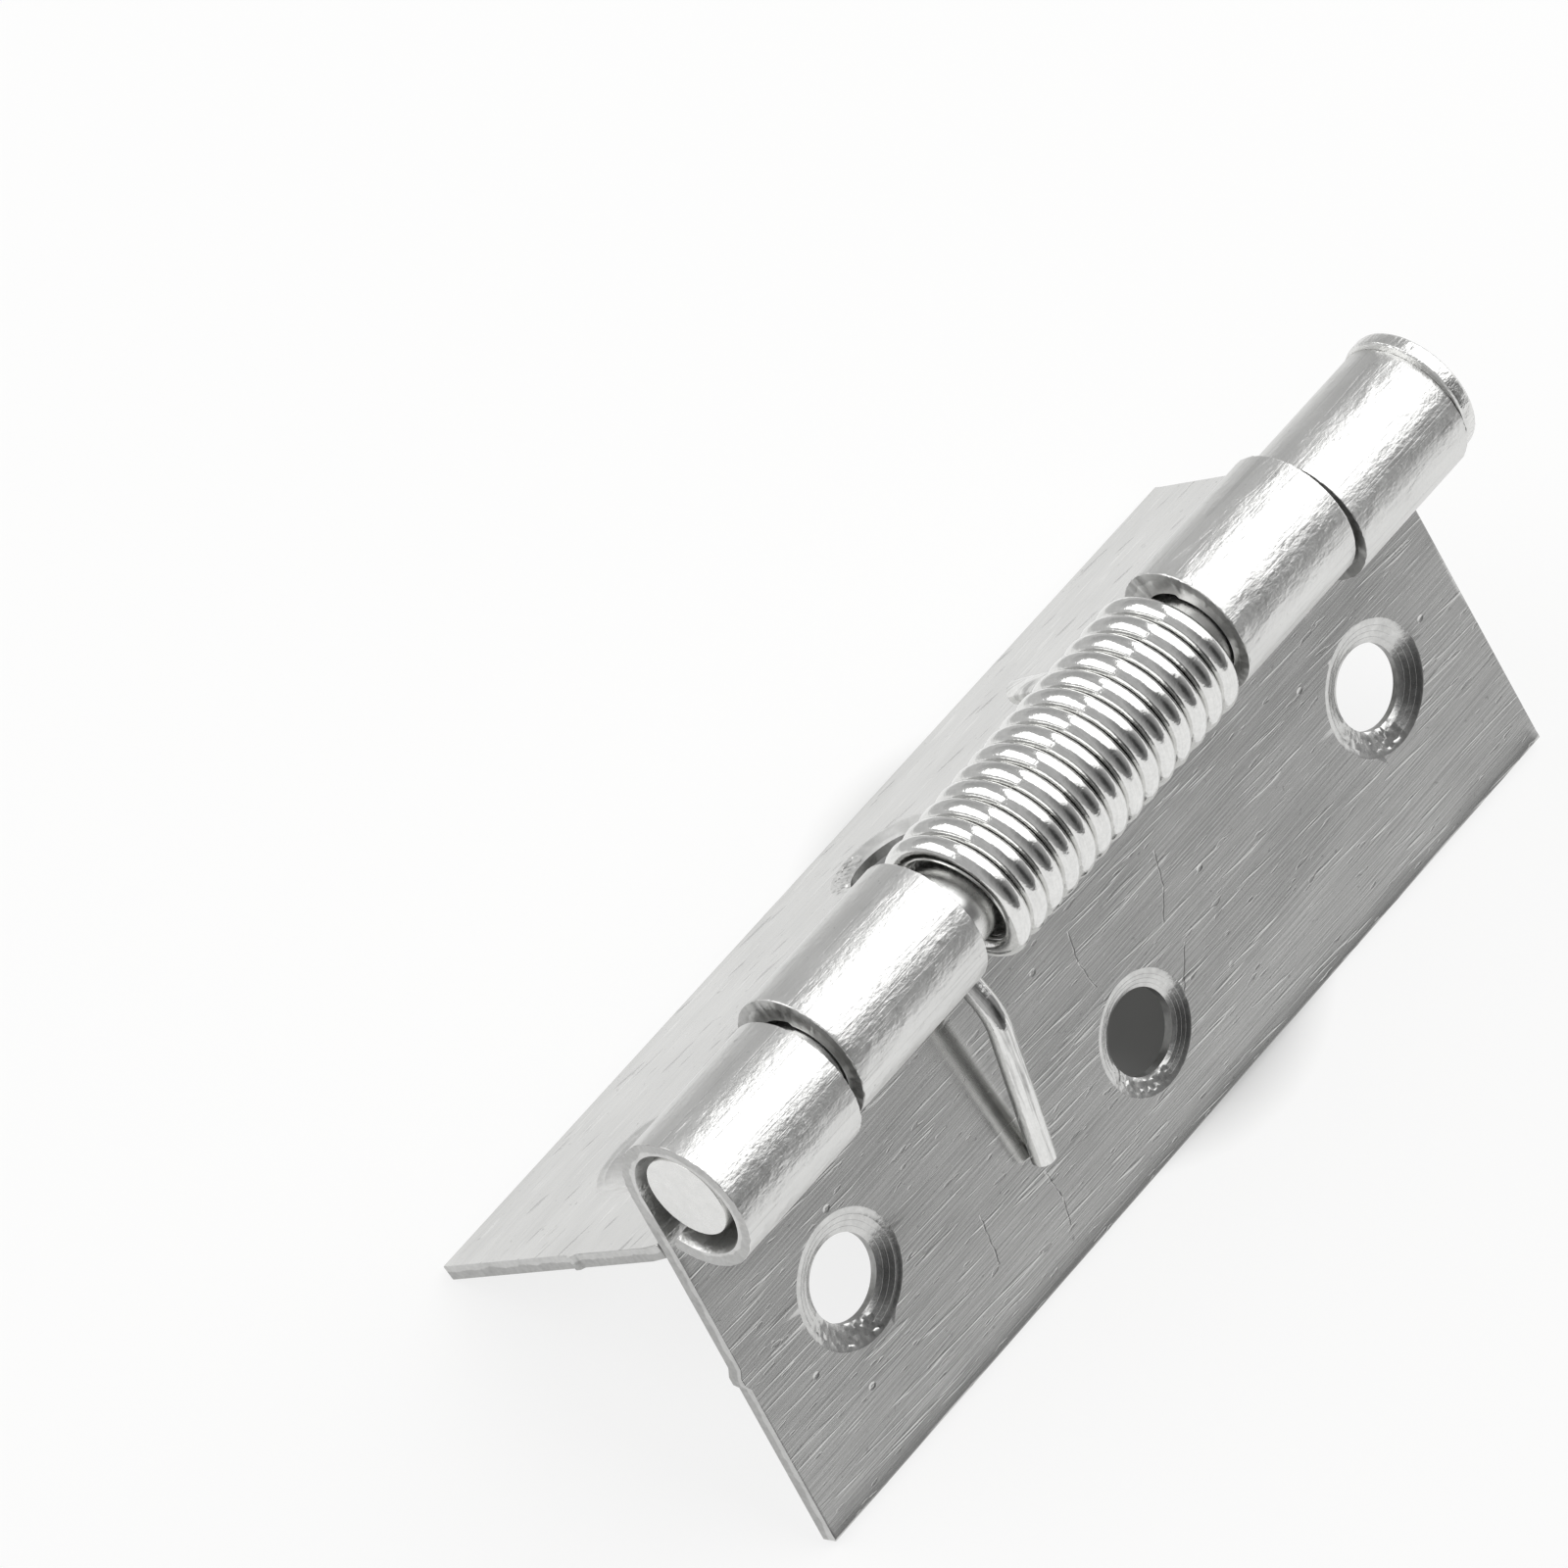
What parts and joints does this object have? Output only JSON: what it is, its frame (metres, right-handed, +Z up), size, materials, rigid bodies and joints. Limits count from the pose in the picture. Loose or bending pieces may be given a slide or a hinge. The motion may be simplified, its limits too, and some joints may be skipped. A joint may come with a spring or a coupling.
{
  "type": "spring loaded door hinge",
  "caption": "Pressed butt hinge with two rolled-knuckle leaves on a headed pin, closed by a torsion spring wound round the pin, with countersunk screw holes.",
  "frame": {"origin": "middle of the hinge on the surface it stands on, with the leaves folded down like a tent", "axes": "+Y along the hinge pin towards its head, +X towards the leaf that carries the end knuckles, +Z up"},
  "size_m": [0.0302, 0.0772, 0.0305],
  "materials": {
    "leaf_steel": "rolled stainless sheet with a fine brushed grain along the pin",
    "pin_steel": "bright drawn wire with a plain cut end and a pressed head",
    "spring_steel": "polished spring wire"
  },
  "bodies": {
    "fixed_side": {"front_leaf": "leaf_steel", "hinge_pin": "pin_steel", "torsion_spring": "spring_steel"},
    "swinging_side": {"rear_leaf": "leaf_steel"}
  },
  "joints": [
    {"name": "leaf_swing", "type": "hinge", "parent": "fixed_side", "child": "swinging_side", "pos_m": [0.00045, 0, 0.02551], "axis": [0, 1, 0], "range_deg": [0, 190], "stiffness_Nm_per_rad": 0.19, "springref_deg": -20.05, "deforming": ["torsion_spring"]}
  ]
}
